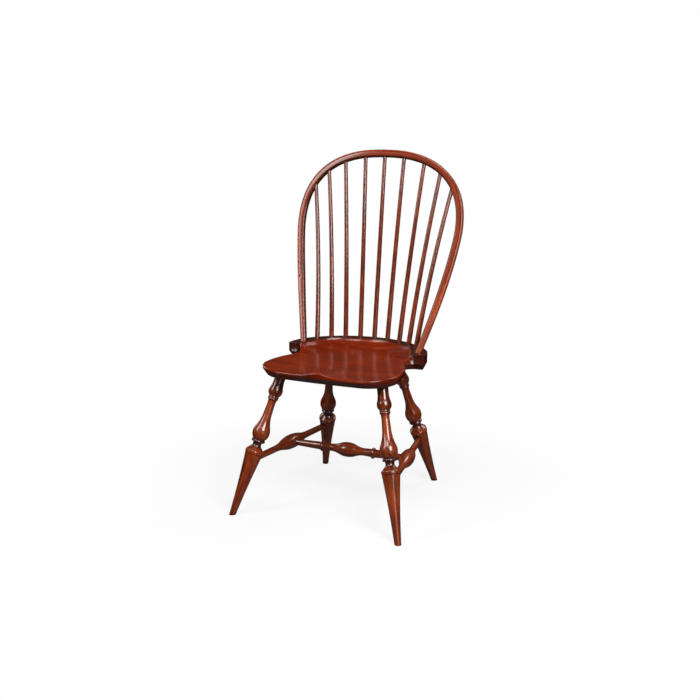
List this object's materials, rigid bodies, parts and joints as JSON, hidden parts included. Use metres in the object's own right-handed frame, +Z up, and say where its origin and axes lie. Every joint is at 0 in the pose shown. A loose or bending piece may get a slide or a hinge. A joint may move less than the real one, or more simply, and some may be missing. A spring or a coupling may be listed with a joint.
{
  "type": "windsor side chair",
  "caption": "Armless bow-back Windsor dining chair: bent bow and thin spindles over a hollowed wooden seat on splayed turned legs with stretchers.",
  "frame": {"origin": "on the floor, under the middle of the chair's overall box", "axes": "+Z up, -Y is the way the sitter faces, +X on the right of someone who looks at the chair from in front"},
  "size_m": [0.5228, 0.5302, 1.0035],
  "materials": {
    "turned_wood": "gloss varnish",
    "bent_wood": "gloss varnish",
    "seat_wood": "gloss varnish",
    "wedge_wood": "gloss varnish"
  },
  "bodies": {
    "root": {"seat": "seat_wood", "bow": "bent_wood", "spindle_1": "bent_wood", "spindle_2": "bent_wood", "spindle_3": "bent_wood", "spindle_4": "bent_wood", "spindle_5": "bent_wood", "spindle_6": "bent_wood", "spindle_7": "bent_wood", "spindle_8": "bent_wood", "spindle_9": "bent_wood", "leg_front_left": "turned_wood", "leg_front_right": "turned_wood", "leg_rear_left": "turned_wood", "leg_rear_right": "turned_wood", "side_stretcher_left": "turned_wood", "side_stretcher_right": "turned_wood", "medial_stretcher": "turned_wood", "spindle_1_wedge": "wedge_wood", "spindle_2_wedge": "wedge_wood", "spindle_3_wedge": "wedge_wood", "spindle_4_wedge": "wedge_wood", "spindle_5_wedge": "wedge_wood", "spindle_6_wedge": "wedge_wood", "spindle_7_wedge": "wedge_wood", "spindle_8_wedge": "wedge_wood", "spindle_9_wedge": "wedge_wood", "leg_front_left_wedge": "wedge_wood", "leg_front_right_wedge": "wedge_wood", "leg_rear_left_wedge": "wedge_wood", "leg_rear_right_wedge": "wedge_wood", "bow_foot_left_wedge": "wedge_wood", "bow_foot_right_wedge": "wedge_wood"}
  },
  "joints": []
}
